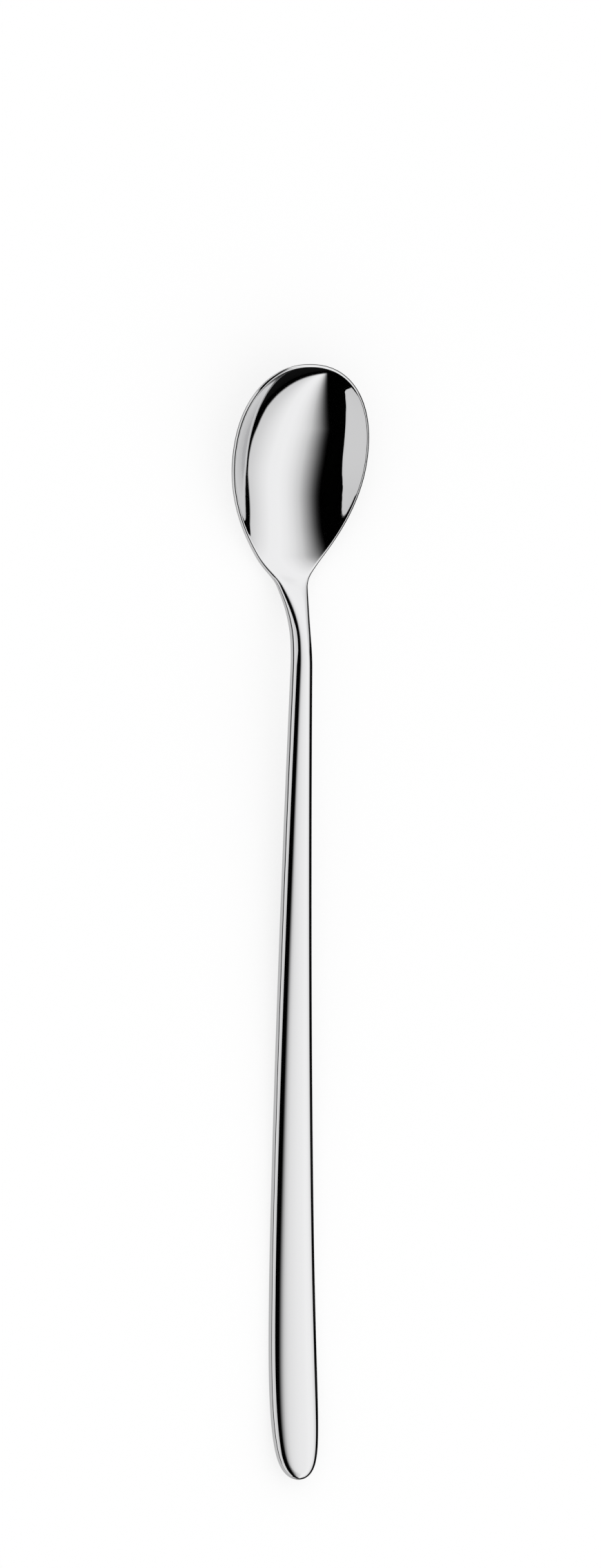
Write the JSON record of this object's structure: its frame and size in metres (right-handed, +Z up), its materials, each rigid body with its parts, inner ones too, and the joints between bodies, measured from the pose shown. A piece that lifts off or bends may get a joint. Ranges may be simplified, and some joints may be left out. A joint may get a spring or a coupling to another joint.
{
  "type": "iced tea spoon",
  "caption": "Long-handled spoon with an egg-shaped bowl, a slim swan neck and a handle that widens to a round, slightly upturned end.",
  "frame": {"origin": "on the table under the middle of the spoon's length and width", "axes": "+Y along the spoon towards the tip of its bowl, +X to the right, +Z up out of the bowl"},
  "size_m": [0.0294, 0.2198, 0.0128],
  "materials": {
    "polished_steel": "mirror polished stainless steel"
  },
  "bodies": {
    "root": {"spoon": "polished_steel"}
  },
  "joints": []
}
